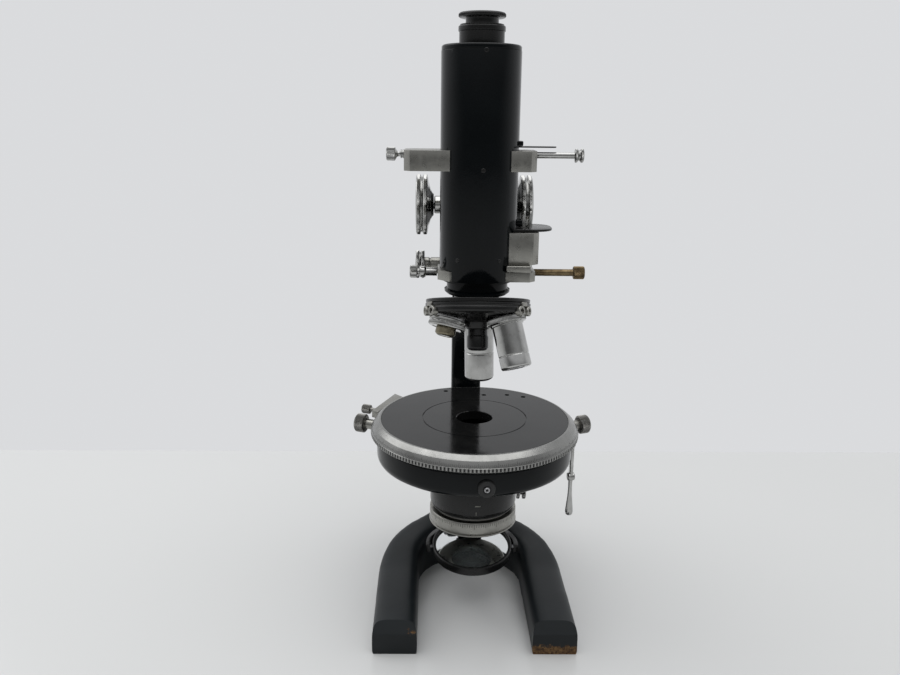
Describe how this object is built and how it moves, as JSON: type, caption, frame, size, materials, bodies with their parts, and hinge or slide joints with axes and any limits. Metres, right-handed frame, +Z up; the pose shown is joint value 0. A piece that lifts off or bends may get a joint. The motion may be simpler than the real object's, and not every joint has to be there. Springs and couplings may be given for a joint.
{
  "type": "compound microscope",
  "caption": "Black polarizing compound microscope on a horseshoe base: inclining limb, rotating stage, focusing tube with analyzer and lens slides, tilted nosepiece, polarizer and mirror.",
  "frame": {"origin": "middle of the bounding box at floor level; the optical axis stands at x = 0, y = -14.7 mm", "axes": "+Z up along the body tube, -Y towards the toes of the base, +X towards the analyzer box"},
  "size_m": [0.1592, 0.1606, 0.3679],
  "materials": {
    "black_enamel": "gloss",
    "blackened_brass": "satin",
    "nickel_plate": "satin",
    "chrome": "polished",
    "steel": "satin",
    "tarnished_brass": "tarnished",
    "glass": "polished",
    "mirror_silver": "polished"
  },
  "bodies": {
    "base": {"base_casting": "black_enamel", "inclination_pin": "steel"},
    "limb": {"limb": "black_enamel", "stage_bracket": "black_enamel", "stage_drum": "black_enamel", "stage_bearing": "blackened_brass", "stage_plunger": "blackened_brass", "vernier_arm": "nickel_plate"},
    "stage": {"stage_plate": "blackened_brass", "stage_rim": "chrome"},
    "screw_left": {"centring_screw_left": "chrome"},
    "screw_right": {"centring_screw_right": "chrome"},
    "vernier_screw": {"vernier_screw": "chrome"},
    "clamp_lever": {"clamp_lever": "chrome"},
    "fine_block": {"fine_block": "black_enamel"},
    "fine_control": {"fine_shaft": "chrome", "fine_knob_left": "chrome", "fine_knob_right": "chrome"},
    "coarse_control": {"coarse_pinion": "steel", "coarse_knob_left": "chrome", "coarse_knob_right": "chrome"},
    "tube": {"body_tube": "black_enamel", "tube_top_cap": "black_enamel", "tube_slide": "nickel_plate", "bertrand_box": "nickel_plate", "analyzer_box": "nickel_plate", "compensator_housing": "nickel_plate", "nose_adapter": "black_enamel", "nosepiece_plate": "blackened_brass"},
    "drawtube": {"drawtube": "blackened_brass"},
    "eyepiece": {"eyepiece_mount": "blackened_brass", "eye_lens": "glass"},
    "bertrand": {"bertrand_slide": "nickel_plate", "bertrand_lens": "glass", "bertrand_pull": "chrome"},
    "bertrand_screw": {"bertrand_screw": "chrome"},
    "iris_lever": {"iris_lever": "blackened_brass"},
    "analyzer": {"analyzer_plate": "blackened_brass", "analyzer_mount": "blackened_brass", "analyzer_prism": "glass"},
    "compensator": {"compensator_slide": "nickel_plate", "compensator_crystal": "glass", "compensator_pull": "tarnished_brass"},
    "compensator_screw": {"compensator_screw": "chrome"},
    "nosepiece": {"nosepiece_dome": "blackened_brass", "centring_pads": "nickel_plate", "objective_high": "chrome", "objective_medium": "chrome", "objective_low": "chrome", "objective_high_lens": "glass", "objective_medium_lens": "glass", "objective_low_lens": "glass"},
    "substage": {"substage_carriage": "black_enamel", "condenser_lens": "glass"},
    "substage_control": {"substage_pinion": "steel"},
    "polarizer": {"polarizer_ring": "chrome", "polarizer_glass": "glass"},
    "mirror_fork": {"mirror_fork": "blackened_brass"},
    "mirror": {"mirror_ring": "blackened_brass", "mirror_glass": "mirror_silver"}
  },
  "joints": [
    {"name": "inclination", "type": "hinge", "parent": "base", "child": "limb", "pos_m": [-0.0034, 0.0633, 0.084], "axis": [-1, 0, 0], "range_deg": [0, 60]},
    {"name": "fine_focus", "type": "slide", "parent": "limb", "child": "fine_block", "axis": [0, 0, 1], "range_m": [-0.0012, 0.0012]},
    {"name": "fine_turn", "type": "hinge", "parent": "limb", "child": "fine_control", "pos_m": [0, 0.0473, 0.2145], "axis": [-1, 0, 0], "range_deg": [-541, 541]},
    {"name": "coarse_focus", "type": "slide", "parent": "fine_block", "child": "tube", "axis": [0, 0, 1], "range_m": [-0.022, 0.028]},
    {"name": "coarse_turn", "type": "hinge", "parent": "fine_block", "child": "coarse_control", "pos_m": [0, 0.0253, 0.257], "axis": [-1, 0, 0], "range_deg": [-263, 335]},
    {"name": "drawtube_slide", "type": "slide", "parent": "tube", "child": "drawtube", "axis": [0, 0, 1], "range_m": [-0.006, 0.03]},
    {"name": "eyepiece_lift", "type": "slide", "parent": "drawtube", "child": "eyepiece", "axis": [0, 0, 1], "range_m": [0, 0.04]},
    {"name": "bertrand_slide", "type": "slide", "parent": "tube", "child": "bertrand", "axis": [1, 0, 0], "range_m": [-0.02, 0]},
    {"name": "bertrand_screw_turn", "type": "hinge", "parent": "tube", "child": "bertrand_screw", "pos_m": [-0.044, -0.0147, 0.2903], "axis": [1, 0, 0], "range_deg": [-360, 360]},
    {"name": "iris_turn", "type": "hinge", "parent": "tube", "child": "iris_lever", "pos_m": [0, -0.0147, 0.295], "axis": [0, 0, 1], "range_deg": [-12, 12]},
    {"name": "analyzer_slide", "type": "slide", "parent": "tube", "child": "analyzer", "axis": [1, 0, 0], "range_m": [0, 0.022]},
    {"name": "compensator_slide", "type": "slide", "parent": "tube", "child": "compensator", "axis": [1, 0, 0], "range_m": [0, 0.02]},
    {"name": "compensator_screw_turn", "type": "hinge", "parent": "tube", "child": "compensator_screw", "pos_m": [-0.024, -0.0147, 0.221], "axis": [1, 0, 0], "range_deg": [-360, 360]},
    {"name": "nosepiece_turn", "type": "hinge", "parent": "tube", "child": "nosepiece", "pos_m": [0, -0.0147, 0.265], "axis": [0, 0.2588, 0.9659], "continuous": true},
    {"name": "stage_turn", "type": "hinge", "parent": "limb", "child": "stage", "pos_m": [0, -0.0147, 0.125], "axis": [0, 0, 1], "continuous": true},
    {"name": "centring_left_turn", "type": "hinge", "parent": "limb", "child": "screw_left", "pos_m": [0, -0.0147, 0.112], "axis": [-0.9317, 0.3633, 0], "range_deg": [-360, 360]},
    {"name": "centring_right_turn", "type": "hinge", "parent": "limb", "child": "screw_right", "pos_m": [0, -0.0147, 0.112], "axis": [0.9317, 0.3633, 0], "range_deg": [-360, 360]},
    {"name": "vernier_screw_turn", "type": "hinge", "parent": "limb", "child": "vernier_screw", "pos_m": [-0.0643, 0.01515, 0.1207], "axis": [-0.9323, 0.3616, 0], "range_deg": [-360, 360]},
    {"name": "clamp_turn", "type": "hinge", "parent": "limb", "child": "clamp_lever", "pos_m": [0, -0.0147, 0.107], "axis": [0.9903, 0.1392, 0], "range_deg": [-35, 35]},
    {"name": "substage_focus", "type": "slide", "parent": "limb", "child": "substage", "axis": [0, 0, 1], "range_m": [-0.004, 0.004]},
    {"name": "substage_turn", "type": "hinge", "parent": "limb", "child": "substage_control", "pos_m": [0, 0.0353, 0.0525], "axis": [-1, 0, 0], "range_deg": [-48, 48]},
    {"name": "polarizer_turn", "type": "hinge", "parent": "substage", "child": "polarizer", "pos_m": [0, -0.0147, 0.063], "axis": [0, 0, 1], "continuous": true},
    {"name": "mirror_roll", "type": "hinge", "parent": "limb", "child": "mirror_fork", "pos_m": [0, 0.0353, 0.0365], "axis": [0, 1, 0], "range_deg": [-15, 15]},
    {"name": "mirror_tilt", "type": "hinge", "parent": "mirror_fork", "child": "mirror", "pos_m": [0, -0.0147, 0.0365], "axis": [1, 0, 0], "range_deg": [-34, 16]}
  ],
  "couplings": [
    {"joint": "fine_turn", "follows": "fine_focus", "rad_per_m": 7854},
    {"joint": "coarse_turn", "follows": "coarse_focus", "rad_per_m": 208.33},
    {"joint": "substage_turn", "follows": "substage_focus", "rad_per_m": 208.33}
  ]
}
